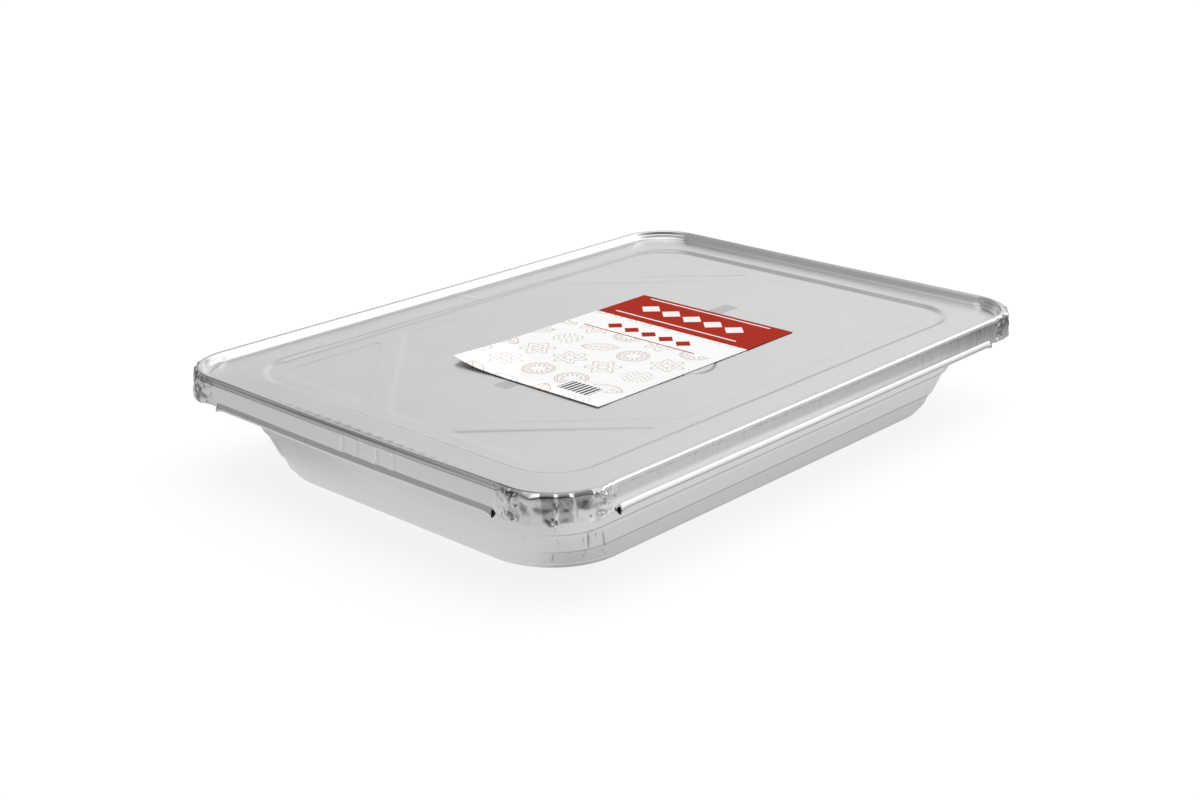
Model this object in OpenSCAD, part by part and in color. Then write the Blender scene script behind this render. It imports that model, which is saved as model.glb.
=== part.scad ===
// Rectangular foil roasting pan with a foil lid pressed over its rim, and a printed card on the lid.
// Origin at the middle of the base, +X along the length, +Z up. Millimetres.

/* [Overall] */
// Length over the rolled hems
overall_l = 406.4; // [360:0.1:520]
// Width over the rolled hems
overall_w = 292.4; // [270:0.1:400]
// Height from the base to the crest of the lid
overall_h = 60.6; // [45:0.1:80]
// Thickness of the foil
foil_t = 0.2; // [0.12:0.01:0.25]

/* [Pan] */
// Corner radius of the wall at its foot
base_corner_r = 43; // [30:0.5:55]
// Corner radius at the top of the wall, where the corners flare out
mouth_corner_r = 19; // [12:0.5:30]
// How far the foot of the wall stands inside the crest of the rim
base_inset = 29.2; // [25:0.1:40]
// Radius of the bend between the base and the wall
base_bend_r = 5; // [3:0.1:8]
// Draft of the wall, in degrees from upright
wall_draft = 13.1; // [6:0.1:16]
// Height of the lowest step pressed into the wall, as a share of the flange's height
wall_step_low = 0.229; // [0.16:0.005:0.28]
// Height of the middle step, as a share of the flange's height
wall_step_mid = 0.459; // [0.36:0.005:0.54]
// Height of the top step, as a share of the flange's height
wall_step_top = 0.651; // [0.6:0.005:0.75]
// How far the wall moves out at each step
wall_step_w = 0.7; // [0.3:0.05:1.2]
// Depth of the flat flange below the crest of the lid
flange_drop = 6.8; // [6.2:0.1:9]
// Radius of the bend between the wall and the flange
mouth_bend_r = 3; // [1.5:0.1:5]
// Width of the rise from the flange to the rolled rim
rise_w = 1.6; // [1.2:0.1:2]
// Width of the slope at the foot of the rise
rise_foot_w = 1; // [0.6:0.1:1.4]

/* [Rim] */
// Corner radius of the rim, at the crest
rim_corner_r = 30; // [26:0.5:40]
// Outer radius of the bead that the lid forms over the rim
bead_r = 2; // [1.7:0.05:2.6]
// Gap between the lid's bead and the rolled edge of the pan
rim_gap = 0.15; // [0.1:0.01:0.3]
// How far the bead's inner foot stands inside the crest
bead_foot_w = 5; // [4.4:0.1:7]

/* [Lid skirt] */
// Height of the skirt from the crest to the rolled hem
skirt_h = 12.4; // [9:0.1:16]
// Drop from the crest to the crease under the bead
crease_drop = 3.2; // [2.8:0.1:4.4]
// How far the foot of the skirt stands inside the hem's outer side
skirt_foot_in = 0.3; // [0.2:0.05:0.5]
// Diameter of the hem rolled along the straight sides
hem_d = 3.2; // [2.6:0.1:4]
// How far each hem stops short of the corner curve
hem_stop = 8.5; // [5:0.5:20]
// How far the gathered corners move in and out
gather_w = 0.55; // [0.2:0.05:0.7]
// Number of gathers in the curve of each corner
gathers = 10; // [6:2:14]
// How far the gathered edge hangs below the foot of the skirt
gather_drop = 2.9; // [2.2:0.1:3.4]
// How far the gathered edge wanders up
gather_wander = 1; // [0.2:0.1:1.8]

/* [Lid panel] */
// Depth of the lid's border below the crest, at the bead
border_foot_drop = 5.6; // [5:0.1:6]
// Depth of the lid's border below the crest, at the frame
border_drop = 4.4; // [3.6:0.1:5]
// Distance of the pressed frame from the crest
frame_inset = 23; // [18:0.5:30]
// Width of the frame's slope
frame_slope_w = 6; // [3:0.1:8]
// Depth of the frame
frame_step = 1.6; // [0.8:0.1:2]
// Corner radius of the frame
frame_corner_r = 24; // [18:0.5:30]
// Width of the ledge between the frame and the pressed panels
ledge_w = 7; // [5:0.5:10]
// Depth of the pressed panels
panel_step = 0.7; // [0.4:0.05:1]
// Width of the slope round each panel
panel_slope_w = 1.6; // [1:0.1:2.5]
// Length of the two short sides of each corner panel
corner_panel_leg = 82; // [60:1:95]
// Corner radius of the corner panels, at the lid's corner
corner_panel_r = 18; // [10:0.5:24]
// Radius of their two sharp corners
corner_tip_r = 4.5; // [3:0.1:6]
// Width of the ribs that part the corner panels from the middle one
rib_w = 8; // [5:0.5:14]
// Radius of the middle panel's corners
middle_panel_r = 12; // [6:0.5:20]

/* [Label] */
// Length of the printed card
label_l = 170; // [120:1:200]
// Width of the printed card
label_w = 116; // [80:1:140]
// Thickness of the printed card
label_t = 0.3; // [0.2:0.05:0.6]
// How far the card lies from the middle of the lid, towards the near side
label_shift = 2; // [-10:0.5:10]
// Height that the card's loose corner curls up
label_curl_h = 3; // [0:0.5:6]
// Distance over which the corner curls up
label_curl_w = 60; // [30:1:90]
// Length of the clear strip under the card
tape_l = 198; // [180:1:220]
// Width of the clear strip
tape_w = 10; // [6:0.5:20]
// Thickness of the clear strip
tape_t = 0.1; // [0.05:0.01:0.15]
// How far the strip reaches further past the card's right end than past its left end
tape_shift = 3; // [-8:0.5:8]

/* [Hidden] */

// The crest runs down the middle of the bead, and the hem's outer side is a hem's diameter outside it.
crest_x = overall_l / 2 - hem_d;
crest_y = overall_w / 2 - hem_d;
border_z = overall_h - border_drop;
ledge_z = border_z - frame_step;
panel_z = ledge_z - panel_step;

function dir(angle) = [cos(angle), sin(angle)];
function turned(p, quarter) = [
    cos(90 * quarter) * p[0] - sin(90 * quarter) * p[1],
    sin(90 * quarter) * p[0] + cos(90 * quarter) * p[1]
];
function flat_list(lists) = [for (part = lists) for (item = part) item];
function backward(list) = [for (k = [len(list) - 1:-1:0]) list[k]];
function arc(centre, r, from, to, n) = [for (k = [0:n]) centre + r * dir(from + (to - from) * k / n)];
function backward_faces(faces, shift) = [for (face = faces) backward([for (k = face) k + shift])];

// A station is [corner, angle in the corner, way along the side from the curve, share of the side].
// A ring is a rounded rectangle of half sizes a and b and corner radius r.
function ring_centre(corner, a, b, r) = turned(corner % 2 == 0 ? [a - r, b - r] : [b - r, a - r], corner);
function ring_point(station, a, b, r) =
    let (out = dir(90 * station[0] + station[1]), along = [-out[1], out[0]])
    ring_centre(station[0], a, b, r) * (1 - station[3])
    + ring_centre((station[0] + 1) % 4, a, b, r) * station[3]
    + r * out + station[2] * along;

// The foil's other face, a thickness t to the right of a path of [offset, height] points.
function side_dir(path, k) =
    let (
        before = path[k] - path[max(k - 1, 0)],
        after = path[min(k + 1, len(path) - 1)] - path[k],
        way = (norm(before) > 0 ? before / norm(before) : [0, 0])
            + (norm(after) > 0 ? after / norm(after) : [0, 0])
    )
    [way[1], -way[0]] / norm(way);
function other_face(path, t) = [for (k = [0:len(path) - 1]) path[k] + t * side_dir(path, k)];

// Faces between two rows of n points that start at the numbers inner and outer.
function strip(inner, outer, n) = [
    for (i = [0:n - 1]) let (next = (i + 1) % n) [inner + i, outer + i, outer + next, inner + next]
];

// Pan

bend_n = 3;
curl_n = 9;
curl_turn = 315;
pan_corner_n = 22;
pan_stations = [for (corner = [0:3]) for (k = [0:pan_corner_n]) [corner, 90 * k / pan_corner_n, 0, 0]];
pan_n = len(pan_stations);
curl_r = bead_r - foil_t - rim_gap;
curl_z = overall_h - bead_r;
flange_z = overall_h - flange_drop;
wall_steps = flange_z * [wall_step_low, wall_step_mid, wall_step_top];

// Offset of the wall from the crest at a height above the base, with the steps that lie below it.
function wall_offset(z, steps) = -base_inset + z * tan(wall_draft) + steps * wall_step_w;
mouth_offset = wall_offset(flange_z, len(wall_steps)) + mouth_bend_r;
base_bend_in = base_bend_r * (1 - tan(wall_draft) / (1 + 1 / cos(wall_draft)));
rise_offset = -curl_r - rise_w;

// Outside of the pan's section, from the base's edge to the end of the rolled rim.
pan_path = concat(
    arc([-base_inset - base_bend_in, base_bend_r], base_bend_r, -90, -wall_draft, bend_n),
    [for (s = [0:len(wall_steps) - 1]) for (up = [0, 1])
        [wall_offset(wall_steps[s], s) + up * wall_step_w, wall_steps[s] + up * wall_step_w / 2]],
    arc([mouth_offset, flange_z - foil_t - mouth_bend_r], mouth_bend_r, 180 - wall_draft, 90, bend_n),
    [[rise_offset - rise_foot_w, flange_z - foil_t], [rise_offset, flange_z + rise_foot_w]],
    arc([0, curl_z], curl_r - foil_t, 180, 180 - curl_turn, curl_n)
);
// The corners flare: their radius falls from the wall's foot to its top, then grows to the rim's.
wall_top_offset = mouth_offset - mouth_bend_r * cos(wall_draft);
flange_start_r = mouth_corner_r + mouth_offset - wall_top_offset;
function between(from, to, share) = from + (to - from) * share;
function pan_corner_r(offset) =
    offset < -base_inset ? base_corner_r + base_inset + offset
    : offset < wall_top_offset ? between(base_corner_r, mouth_corner_r,
        (offset + base_inset) / (wall_top_offset + base_inset))
    : offset < mouth_offset ? mouth_corner_r + offset - wall_top_offset
    : offset < rise_offset ? between(flange_start_r, rim_corner_r + rise_offset,
        (offset - mouth_offset) / (rise_offset - mouth_offset))
    : rim_corner_r + offset;
// Ring of a point of the section, whose corners run along those of the outside at an offset.
function pan_ring(point, offset) = let (r = pan_corner_r(offset) + point[0] - offset) [
    for (station = pan_stations) let (xy = ring_point(station, crest_x + point[0], crest_y + point[0], r))
        [xy[0], xy[1], point[1]]
];

module pan() {
    rows = len(pan_path);
    // The path runs up the outside, so the inside of the foil lies to its left.
    outside = flat_list([for (point = pan_path) pan_ring(point, point[0])]);
    inner_path = other_face(pan_path, -foil_t);
    inside = flat_list([for (r = [0:rows - 1]) pan_ring(inner_path[r], pan_path[r][0])]);
    shift = rows * pan_n;
    end_row = (rows - 1) * pan_n;
    skin = concat(
        [[for (i = [0:pan_n - 1]) i]],
        flat_list([for (r = [0:rows - 2]) strip(r * pan_n, (r + 1) * pan_n, pan_n)])
    );
    color([0.80, 0.81, 0.82])
    polyhedron(
        points = concat(outside, inside),
        faces = concat(skin, backward_faces(skin, shift), strip(end_row, shift + end_row, pan_n))
    );
}

// Lid

lead_n = 4;
lead_shares = [for (k = [0:lead_n - 1]) 1 - k / lead_n];
side_shares = [0.35, 0.65];
lid_stations = flat_list([for (corner = [0:3]) concat(
    [for (share = lead_shares) [corner, 0, -hem_stop * share, 0]],
    [for (k = [0:2 * gathers]) [corner, 90 * k / (2 * gathers), 0, 0]],
    [for (share = backward(lead_shares)) [corner, 90, hem_stop * share, 0]],
    [for (share = side_shares) [corner, 90, 0, share]]
)]);
lid_n = len(lid_stations);
corner_n = lid_n / 4;
hem_from = 2 * lead_n + 2 * gathers;
hem_n = len(side_shares) + 2;

// Gathered stations lie between the ends of two hems. They fold out and in by turns, unevenly.
fold_turn = 137;
ragged_turn = 71;
function gathered(i) = let (k = i % corner_n) k > 0 && k < hem_from ? 1 : 0;
function fold(i) = 0.5 + 0.35 * (i % 2 * 2 - 1) + 0.15 * sin(fold_turn * i);
function ragged(i) = gathered(i) * (0.5 + 0.5 * sin(ragged_turn * i));

frame_foot = frame_inset + frame_slope_w;
bead_z = overall_h - bead_r;
hem_z = overall_h - skirt_h - hem_d / 2;

bead_n = 6;
hem_turn_n = 7;
hem_from_angle = 40;
hem_to_angle = -240;
skirt_shares = [0, 0.3, 0.7, 1];
skirt_flare = hem_d - skirt_foot_in - bead_r;

// Outer face of the rim's section from the bead's foot to the top of the hem, as [offset, height].
rim_path = concat(
    [[-bead_foot_w, overall_h - border_foot_drop]],
    arc([0, bead_z], bead_r, 180, 0, bead_n),
    [for (share = skirt_shares)
        [bead_r + skirt_flare * sin(90 * share), overall_h - crease_drop - (skirt_h - crease_drop) * share]]
);
hem_path = arc([hem_d / 2, hem_z], hem_d / 2, hem_from_angle, hem_to_angle, hem_turn_n);
edge_path = concat(rim_path, hem_path);
edge_other = other_face(edge_path, foil_t);
rim_rows = len(rim_path);
hem_rows = len(hem_path);

// Share of the gathers at a row of the section: none on the bead's crest, all of them on the skirt.
gather_row = bead_n - 1;
gather_growth = 0.3;
function rim_gather(r) = max(0, min(1, gather_growth * (r - gather_row)));
// Way out from the section at a gathered station, which stays within the hem's outer side.
function fold_shift(r, i) =
    let (most = rim_gather(r) * gather_w, back = max(0, edge_path[r][0] + most - hem_d))
    gathered(i) * (most * fold(i) - back);
// In the corners the skirt has no hem, and its ragged edge reaches down about as far as the hem does.
function rim_ring(path, r) = [
    for (i = [0:lid_n - 1]) let (
        offset = path[r][0] + fold_shift(r, i),
        xy = ring_point(lid_stations[i], crest_x + offset, crest_y + offset, rim_corner_r + offset),
        drop = r < rim_rows - 1 ? 0 : gathered(i) * gather_drop - ragged(i) * gather_wander
    ) [xy[0], xy[1], path[r][1] - drop]
];
function plain_ring(inset, r, z) = [
    for (station = lid_stations) let (xy = ring_point(station, crest_x - inset, crest_y - inset, r))
        [xy[0], xy[1], z]
];

// Pressed panels: the arcs of their corners, drawn in one quarter and turned to the others.
panel_inset = frame_foot + ledge_w;
tip_n = 4;
bow_n = 6;
function half_x(quarter) = (quarter % 2 == 0 ? crest_x : crest_y) - panel_inset;
function half_y(quarter) = (quarter % 2 == 0 ? crest_y : crest_x) - panel_inset;
// Sum of x and y along the slanted side of the corner panel, and along that of the middle panel.
function corner_sum(quarter) = half_x(quarter) + half_y(quarter) - corner_panel_leg;
function middle_sum(quarter) = corner_sum(quarter) - sqrt(2) * rib_w;
function corner_outline(quarter, shrink) =
    let (
        x = half_x(quarter),
        y = half_y(quarter),
        sum = corner_sum(quarter) + corner_tip_r * (1 + sqrt(2)),
        tip = corner_tip_r - shrink
    )
    [for (p = concat(
        arc([x - corner_panel_r, y - corner_panel_r], corner_panel_r - shrink, 0, 90, bow_n),
        arc([sum - y, y - corner_tip_r], tip, 90, 225, tip_n),
        arc([x - corner_tip_r, sum - x], tip, 225, 360, tip_n)
    )) turned(p, quarter)];
function middle_outline(quarter, shrink) =
    let (
        x = half_x(quarter) - middle_panel_r,
        y = half_y(quarter) - middle_panel_r,
        sum = middle_sum(quarter) - middle_panel_r * sqrt(2),
        r = middle_panel_r - shrink
    )
    [for (p = concat(arc([x, sum - x], r, 0, 45, tip_n), arc([sum - y, y], r, 45, 90, tip_n)))
        turned(p, quarter)];
function raised(points, z) = [for (p = points) [p[0], p[1], z]];

corner_count = bow_n + 1 + 2 * (tip_n + 1);
middle_count = 2 * (tip_n + 1);
panel_start = (rim_rows + 2) * lid_n;
quarter_count = 2 * (corner_count + middle_count);
hem_start = panel_start + 4 * quarter_count;
hem_stations = [for (corner = [0:3]) for (k = [0:hem_n - 1]) (corner * corner_n + hem_from + k) % lid_n];
lid_count = hem_start + 4 * hem_n * hem_rows;

function quarter_points(quarter, z_shift) = concat(
    raised(corner_outline(quarter, 0), ledge_z + z_shift),
    raised(corner_outline(quarter, panel_slope_w), panel_z + z_shift),
    raised(middle_outline(quarter, 0), ledge_z + z_shift),
    raised(middle_outline(quarter, panel_slope_w), panel_z + z_shift)
);
function lid_points(path, z_shift) = concat(
    plain_ring(frame_foot, frame_corner_r, ledge_z + z_shift),
    plain_ring(frame_inset, frame_corner_r + frame_slope_w / 2, border_z + z_shift),
    flat_list([for (r = [0:rim_rows - 1]) rim_ring(path, r)]),
    flat_list([for (quarter = [0:3]) quarter_points(quarter, z_shift)]),
    flat_list([for (r = [rim_rows:rim_rows + hem_rows - 1]) [for (i = hem_stations)
        let (xy = ring_point(lid_stations[i], crest_x + path[r][0], crest_y + path[r][0],
            rim_corner_r + path[r][0])) [xy[0], xy[1], path[r][1]]]])
);

// Numbers of the panels' points, with the quarters counted on past the last one.
function quarter_start(quarter) = panel_start + (quarter % 4) * quarter_count;
function corner_at(quarter, from, to) =
    [for (k = [from:(to > from ? 1 : -1):to]) quarter_start(quarter) + k];
function middle_at(quarter, from, to) =
    [for (k = [from:(to > from ? 1 : -1):to]) quarter_start(quarter) + 2 * corner_count + k];
second_tip = bow_n + 1 + tip_n + 1;

// Triangles between an outer and an inner row of points, where match gives each outer point's inner one.
function stitch(outer, inner, match) = flat_list([for (k = [0:len(outer) - 2]) concat(
    [[outer[k], outer[k + 1], inner[match[k + 1]]]],
    [for (i = [match[k]:1:match[k + 1] - 1]) [outer[k], inner[i + 1], inner[i]]]
)]);
// The ledge beside each long or short side, between the frame's straight foot and the panels.
function ledge_faces(quarter) = stitch(
    [for (k = [lead_n + 2 * gathers:corner_n + lead_n]) (quarter * corner_n + k) % lid_n],
    concat(
        corner_at(quarter, bow_n, bow_n + 1),
        middle_at(quarter, middle_count - 1, middle_count - 1),
        middle_at(quarter + 1, 0, 0),
        corner_at(quarter + 1, corner_count - 1, corner_count - 1),
        corner_at(quarter + 1, 0, 0)
    ),
    concat([for (k = [0:lead_n]) 0], [2, 3], [for (k = [0:lead_n]) 5])
);
// The ledge round a corner of the frame, whose curve has more points than the panel's.
function bow_faces(quarter) = stitch(
    [for (k = [0:2 * gathers]) quarter * corner_n + lead_n + k],
    corner_at(quarter, 0, bow_n),
    [for (k = [0:2 * gathers]) round(k * bow_n / (2 * gathers))]
);
// The two gaps between the sharp corners of a corner panel and the middle panel.
function gap_faces(quarter) =
    let (
        tips = [corner_at(quarter, bow_n + 1, second_tip - 1), corner_at(quarter, corner_count - 1, second_tip)],
        rounds = [middle_at(quarter, middle_count - 1, tip_n + 1), middle_at(quarter, 0, tip_n)]
    )
    [for (side = [0, 1]) for (k = [0:tip_n - 1]) let (
        face = [tips[side][k], rounds[side][k], rounds[side][k + 1], tips[side][k + 1]]
    ) side == 0 ? face : backward(face)];
// The rib between them, along the slanted sides.
function rib_face(quarter) = concat(
    middle_at(quarter, tip_n, tip_n),
    corner_at(quarter, second_tip, second_tip - 1),
    middle_at(quarter, tip_n + 1, tip_n + 1)
);
middle_ring = flat_list([for (quarter = [0:3]) middle_at(quarter, 0, middle_count - 1)]);
function slope_faces(outline, shift) = [
    for (k = [0:len(outline) - 1]) let (a = outline[k], b = outline[(k + 1) % len(outline)])
        [a, b, b + shift, a + shift]
];

panel_faces = concat(
    flat_list([for (quarter = [0:3]) ledge_faces(quarter)]),
    flat_list([for (quarter = [0:3]) bow_faces(quarter)]),
    flat_list([for (quarter = [0:3]) gap_faces(quarter)]),
    [for (quarter = [0:3]) rib_face(quarter)],
    flat_list([for (quarter = [0:3]) slope_faces(corner_at(quarter, 0, corner_count - 1), corner_count)]),
    [for (quarter = [0:3]) [for (k = corner_at(quarter, 0, corner_count - 1)) k + corner_count]],
    slope_faces(middle_ring, middle_count),
    [[for (k = middle_ring) k + middle_count]]
);
last_row = (rim_rows + 1) * lid_n;
// Number of a hem's point: side, station along the side, and row, where row -1 is the skirt's edge.
function hem_at(side, k, row) =
    row < 0 ? last_row + hem_stations[hem_n * side + k] : hem_start + (row * 4 + side) * hem_n + k;
hem_faces = [
    for (side = [0:3]) for (k = [0:hem_n - 2]) for (row = [-1:hem_rows - 2]) [
        hem_at(side, k, row),
        hem_at(side, k, row + 1),
        hem_at(side, k + 1, row + 1),
        hem_at(side, k + 1, row)
    ]
];
lid_skin = concat(
    panel_faces,
    flat_list([for (r = [0:rim_rows]) strip(r * lid_n, (r + 1) * lid_n, lid_n)]),
    hem_faces
);
// The raw edges of the foil, and the open ends of the hems.
hem_edges = [
    for (side = [0:3]) for (k = [0:hem_n - 2])
        let (a = hem_at(side, k, hem_rows - 1), b = hem_at(side, k + 1, hem_rows - 1))
        [b, a, a + lid_count, b + lid_count]
];
corner_edges = [
    for (i = [0:lid_n - 1]) let (a = last_row + i, b = last_row + (i + 1) % lid_n)
        if (i % corner_n < hem_from) [b, a, a + lid_count, b + lid_count]
];
hem_ends = [
    for (side = [0:3]) for (k = [0, hem_n - 1]) for (row = [-1:hem_rows - 2]) let (
        a = hem_at(side, k, row),
        b = hem_at(side, k, row + 1),
        face = [b, a, a + lid_count, b + lid_count]
    ) k == 0 ? face : backward(face)
];

module lid() {
    skin = concat(lid_skin, backward_faces(lid_skin, lid_count), hem_edges, corner_edges, hem_ends);
    color([0.84, 0.84, 0.85])
    polyhedron(
        points = concat(lid_points(edge_path, 0), lid_points(edge_other, -foil_t)),
        faces = [for (face = skin) backward(face)]
    );
}

// Label and the clear strip under it

label_nx = 17;
label_ny = 12;
label_z = panel_z + tape_t;
// Rise of the card near its loose corner, at the left of the far side.
function label_rise(x, y) =
    let (away = norm([x + label_l / 2, label_w / 2 - y]), share = max(0, 1 - away / label_curl_w))
    label_curl_h * share * share;
label_points = flat_list([for (up = [0, label_t]) [
    for (j = [0:label_ny]) for (i = [0:label_nx]) let (
        x = (i / label_nx - 0.5) * label_l,
        y = (j / label_ny - 0.5) * label_w
    ) [x, y, up + label_rise(x, y)]
]]);
label_count = (label_nx + 1) * (label_ny + 1);
label_under = [
    for (j = [0:label_ny - 1]) for (i = [0:label_nx - 1]) for (half = [0, 1])
        let (a = j * (label_nx + 1) + i, b = a + 1, c = b + label_nx + 1, d = c - 1)
        half == 0 ? [a, b, c] : [a, c, d]
];
label_rim = concat(
    [for (i = [0:label_nx]) i],
    [for (j = [1:label_ny]) (j + 1) * (label_nx + 1) - 1],
    [for (i = [label_nx - 1:-1:0]) label_ny * (label_nx + 1) + i],
    [for (j = [label_ny - 1:-1:1]) j * (label_nx + 1)]
);
label_sides = [
    for (k = [0:len(label_rim) - 1]) let (a = label_rim[k], b = label_rim[(k + 1) % len(label_rim)])
        [a, a + label_count, b + label_count, b]
];

module label() {
    color([0.96, 0.95, 0.93])
    translate([0, -label_shift, label_z])
    polyhedron(
        points = label_points,
        faces = concat(label_under, backward_faces(label_under, label_count), label_sides)
    );
}

module label_tape() {
    color([0.78, 0.78, 0.79])
    translate([(tape_shift - tape_l) / 2, -label_shift - tape_w / 2, panel_z])
    cube([tape_l, tape_w, tape_t]);
}

pan();
lid();
label();
label_tape();
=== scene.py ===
import math

import bpy
import numpy as np
from mathutils import Matrix, Vector
from mathutils.geometry import delaunay_2d_cdt


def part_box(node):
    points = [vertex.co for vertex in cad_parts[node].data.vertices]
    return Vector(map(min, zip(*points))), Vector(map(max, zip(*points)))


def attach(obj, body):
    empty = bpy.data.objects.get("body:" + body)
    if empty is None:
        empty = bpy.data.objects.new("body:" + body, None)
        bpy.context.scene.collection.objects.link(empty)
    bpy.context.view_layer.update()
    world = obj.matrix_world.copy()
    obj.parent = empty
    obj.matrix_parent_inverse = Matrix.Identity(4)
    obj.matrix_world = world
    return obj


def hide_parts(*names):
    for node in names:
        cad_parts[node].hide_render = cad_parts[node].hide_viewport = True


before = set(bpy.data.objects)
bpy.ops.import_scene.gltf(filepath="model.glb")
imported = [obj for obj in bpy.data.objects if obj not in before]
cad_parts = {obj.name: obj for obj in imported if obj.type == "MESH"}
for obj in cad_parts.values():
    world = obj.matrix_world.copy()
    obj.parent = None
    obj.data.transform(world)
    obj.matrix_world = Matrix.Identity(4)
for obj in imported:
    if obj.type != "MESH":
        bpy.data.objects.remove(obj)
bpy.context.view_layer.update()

# Lengths are in millimetres, and mm turns them into metres when a mesh is made.
mm = 0.001

# Sizes of the foil, as in the part
lid_low, lid_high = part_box("lid")
card_low, card_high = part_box("label")
tape_low, tape_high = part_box("label_tape")
hem_d = 3.2
foil_t = 0.15
crest_x = (lid_high.x - lid_low.x) / mm / 2 - hem_d
crest_y = (lid_high.y - lid_low.y) / mm / 2 - hem_d
crest_z = lid_high.z / mm
rim_r = 30.0
bead_r = 2.0
bead_foot = (-4.7, -4.95)
skirt_top = (2.05, -3.1)
skirt_foot = (2.25, -12.3)
# The hem's section: a slanted face, then the roll under it
hem_path = [
    (2.36, -12.62), (2.62, -13.1), (2.86, -13.65), (3.1, -14.25), (3.3, -14.85),
    (3.38, -15.4), (3.2, -15.9), (2.65, -16.12), (1.95, -16.05), (1.35, -15.7),
    (1.0, -15.1), (1.0, -14.4), (1.35, -13.7),
]
hem_stop = 8.5
edge_drop = 2.9

# Pressed shapes of the lid, with heights below the crest
border_z = -4.4
frame_inset = 23.0
frame_slope = 6.0
frame_step = 1.6
frame_r = 24.0
ledge = 7.0
panel_step = 0.34
panel_slope = 4.4
panel_leg = 82.0
panel_bow_r = 18.0
panel_tip_r = 4.5
rib_w = 8.0
middle_r = 12.0

# The pan, with offsets from the crest and heights above its base
base_inset = 29.2
base_r = 43.0
wall_top_r = 19.0
bend_r = 5.0
draft = math.radians(13.1)
flange_drop = 6.8
wall_steps = [share * (crest_z - flange_drop) for share in (0.229, 0.459, 0.651)]
wall_step_w = 0.7
mouth_r = 3.0
curl_r = 1.65
rise_w = 1.6

# Card and clear strip: thickness, and height over the lid
card_t = 0.22
card_lift = 0.12
tape_t = 0.05
tape_lift = 0.02

# Corners, and the sides that follow them, counter-clockwise from +X +Y
corner_signs = np.array([(1, 1), (-1, 1), (-1, -1), (1, -1)])
near_corner = 2
far_long, near_short, near_long, far_short = range(4)


# Small tools for shapes

def direction(angle):
    return np.array([math.cos(angle), math.sin(angle)])


def directions(angles):
    return np.column_stack([np.cos(angles), np.sin(angles)])


def arc(centre, r, start, end, n):
    """n + 1 points of an arc, with its angles in degrees."""
    return centre + r * directions(np.radians(np.linspace(start, end, n + 1)))


def bezier(a, b, c, n):
    t = np.linspace(0, 1, n + 1)[:, None]
    return (1 - t) ** 2 * np.array(a) + 2 * t * (1 - t) * np.array(b) + t**2 * np.array(c)


def smooth(t):
    t = np.clip(t, 0, 1)
    return t * t * (3 - 2 * t)


def bump(x, centre, width):
    return np.exp(-(((x - centre) / width) ** 2))


def between(x, low, high, rise, fall):
    """1 between two values and 0 past them, with smooth steps of the given widths on the inside."""
    return smooth((x - low) / rise) * smooth((high - x) / fall)


def box_distance(x, y, inset, r):
    """Signed distance to a rounded rectangle that lies within the crest's by an inset."""
    dx = np.abs(x) - (crest_x - inset - r)
    dy = np.abs(y) - (crest_y - inset - r)
    outside = np.hypot(np.maximum(dx, 0), np.maximum(dy, 0))
    return outside + np.minimum(np.maximum(dx, dy), 0) - r


def rim_inset(x, y):
    """Distance inward from the crest."""
    return -box_distance(x, y, 0, rim_r)


def four_quarters(quarter):
    """A closed outline from its +X +Y quarter."""
    return np.vstack([quarter, (quarter * [-1, 1])[::-1], -quarter, (quarter * [1, -1])[::-1]])


def outline_distance(points, outline):
    """Signed distance from points to a closed convex outline that runs counter-clockwise."""
    best = np.full(len(points), np.inf)
    inside = np.full(len(points), -np.inf)
    for a, b in zip(outline, np.roll(outline, -1, axis=0)):
        edge = b - a
        length = np.hypot(*edge)
        if length < 1e-9:
            continue
        rel = points - a
        t = np.clip(rel @ edge / length**2, 0, 1)
        best = np.minimum(best, np.hypot(*(rel - t[:, None] * edge).T))
        inside = np.maximum(inside, (rel[:, 0] * edge[1] - rel[:, 1] * edge[0]) / length)
    return np.where(inside < 0, -best, best)


def waves(x, y, seed, size, count=6):
    """Slow random waves of about the given size, between -1 and 1."""
    rng = np.random.default_rng(seed)
    total = np.zeros(np.broadcast(x, y).shape)
    for _ in range(count):
        angle, phase = rng.uniform(0, 2 * math.pi, 2)
        pitch = size * rng.uniform(0.7, 1.6)
        across = x * math.cos(angle) + y * math.sin(angle)
        total = total + np.sin(across * 2 * math.pi / pitch + phase)
    return total / count * 1.4


def quads(first, second, closed):
    """Faces between two rows of vertex numbers."""
    a, b = np.asarray(first), np.asarray(second)
    if closed:
        a, b = np.append(a, a[0]), np.append(b, b[0])
    return np.column_stack([a[:-1], b[:-1], b[1:], a[1:]]).tolist()


def grid_faces(numbers, closed):
    faces = []
    for first, second in zip(numbers[:-1], numbers[1:]):
        faces += quads(first, second, closed)
    return faces


def flipped(faces):
    return [face[::-1] for face in faces]


def net_points(xs, ys):
    x, y = np.meshgrid(xs, ys)
    return np.column_stack([x.ravel(), y.ravel()])


class Sheet:
    """Points, faces and painted shading of one sheet, collected row by row."""

    def __init__(self):
        self.points, self.shades, self.faces, self.count = [], [], [], 0

    def add(self, points, shades=None):
        """Add points, and return their numbers."""
        self.points.append(points)
        self.shades.append(np.zeros(len(points)) if shades is None else shades)
        self.count += len(points)
        return np.arange(self.count - len(points), self.count)

    def fill(self, ring, net, height, lift, upward, shade=None):
        """Close a ring of the sheet's points with triangles over a net of loose points."""
        flat, triangles = triangulate(np.vstack(self.points)[ring][:, :2], net)
        x, y = flat[len(ring):].T
        extra = self.add(np.column_stack([x, y, height(x, y) + lift]), shade(x, y) if shade else None)
        self.faces += oriented(flat, triangles, np.concatenate([ring, extra]), upward)

    def done(self):
        return np.vstack(self.points), self.faces, np.concatenate(self.shades)


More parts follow.
